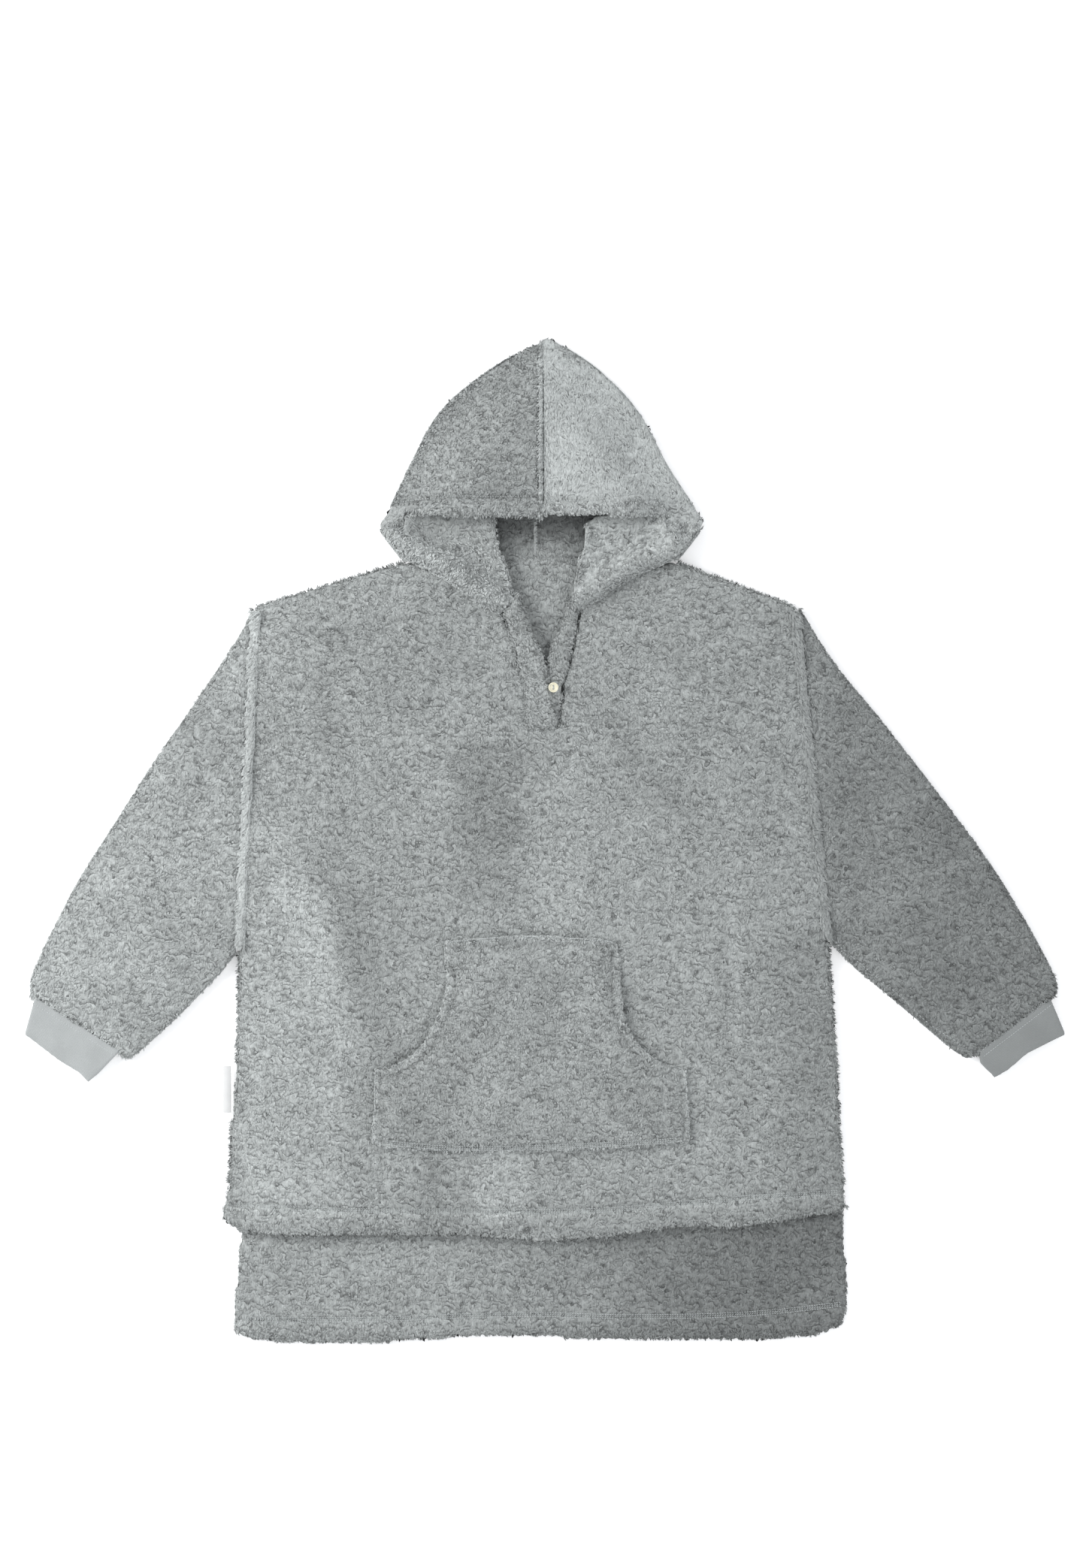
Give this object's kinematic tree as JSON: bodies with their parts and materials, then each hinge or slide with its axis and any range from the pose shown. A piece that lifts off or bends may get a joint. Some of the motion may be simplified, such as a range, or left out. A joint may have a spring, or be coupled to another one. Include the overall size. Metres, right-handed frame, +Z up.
{
  "type": "hooded fleece pullover robe",
  "caption": "Hooded fleece pullover robe laid flat, with long sleeves and cuffs, a pouch pocket, a buttoned V neck and a longer back tail.",
  "frame": {"origin": "on the underside of the back panel, on the garment's centre line at chest height, where the garment rests", "axes": "+X to the side of the reader's right hand across the span of the sleeves, +Y from the hem to the tip of the hood, +Z up out of the surface the garment lies on"},
  "size_m": [1.248, 1.2056, 0.0433],
  "materials": {
    "fleece": "grey-green curly high-pile fleece, matt, tufted",
    "fleece_inside": "the same fleece seen from its inside face, flatter pile",
    "jersey": "fine smooth cotton jersey",
    "thread": "polyester sewing thread, slightly paler than the fleece",
    "button": "cream resin with soft clouding, polished",
    "label": "white woven satin tape, blank"
  },
  "bodies": {
    "torso": {"back_panel": "fleece", "back_hem": "fleece_inside", "back_hem_stitching": "thread", "left_vent_hem": "fleece_inside", "right_vent_hem": "fleece_inside", "back_neck_seam": "thread", "front_panel": "fleece", "left_side_seam": "fleece_inside", "right_side_seam": "fleece_inside", "left_shoulder_seam": "fleece_inside", "right_shoulder_seam": "fleece_inside", "left_armhole_seam": "fleece", "right_armhole_seam": "fleece", "left_lapel": "fleece", "right_lapel": "fleece", "left_placket": "fleece", "right_placket": "fleece", "placket_stitch_box": "thread", "pocket_panel": "fleece", "pocket_top_seam": "fleece_inside", "pocket_bottom_seam": "fleece_inside", "pocket_left_seam": "fleece_inside", "pocket_right_seam": "fleece_inside", "pocket_left_facing": "fleece_inside", "pocket_right_facing": "fleece_inside"},
    "front_hem": {"front_hem_panel": "fleece", "front_hem_allowance": "fleece_inside", "front_hem_stitching": "thread"},
    "hood": {"hood_left_panel": "fleece", "hood_right_panel": "fleece", "hood_centre_seam": "fleece", "hood_back_seam": "thread", "hood_left_brim": "fleece", "hood_right_brim": "fleece"},
    "sleeve_left": {"left_sleeve": "fleece", "left_underarm_seam": "thread", "left_cuff": "jersey", "left_cuff_seam": "thread"},
    "sleeve_right": {"right_sleeve": "fleece", "right_underarm_seam": "thread", "right_cuff": "jersey", "right_cuff_seam": "thread"},
    "button_on_shank": {"button": "button", "button_thread": "thread"},
    "label": {"side_label": "label"}
  },
  "joints": [
    {"name": "left_sleeve_fold", "type": "hinge", "parent": "torso", "child": "sleeve_left", "pos_m": [-0.3372, 0.281, 0.028], "axis": [0.0471, 0.9989, 0], "range_deg": [0, 179.5]},
    {"name": "right_sleeve_fold", "type": "hinge", "parent": "torso", "child": "sleeve_right", "pos_m": [0.3142, 0.281, 0.028], "axis": [0.0951, -0.9955, 0], "range_deg": [0, 179.5]},
    {"name": "hood_fold", "type": "hinge", "parent": "torso", "child": "hood", "pos_m": [0, 0.335, 0.0405], "axis": [1, 0, 0], "range_deg": [0, 179.5]},
    {"name": "front_hem_lift", "type": "hinge", "parent": "torso", "child": "front_hem", "pos_m": [0, -0.415, 0.022], "axis": [-1, 0, 0], "range_deg": [0, 150]},
    {"name": "label_flip", "type": "hinge", "parent": "torso", "child": "label", "pos_m": [-0.3649, -0.3, 0.01], "axis": [0, 1, 0], "range_deg": [-80, 85], "stiffness_Nm_per_rad": 0.001},
    {"name": "button_tilt", "type": "hinge", "parent": "torso", "child": "button_on_shank", "pos_m": [0.022, 0.182, 0.0203], "axis": [0, 1, 0], "range_deg": [-15, 15], "stiffness_Nm_per_rad": 0.002}
  ]
}
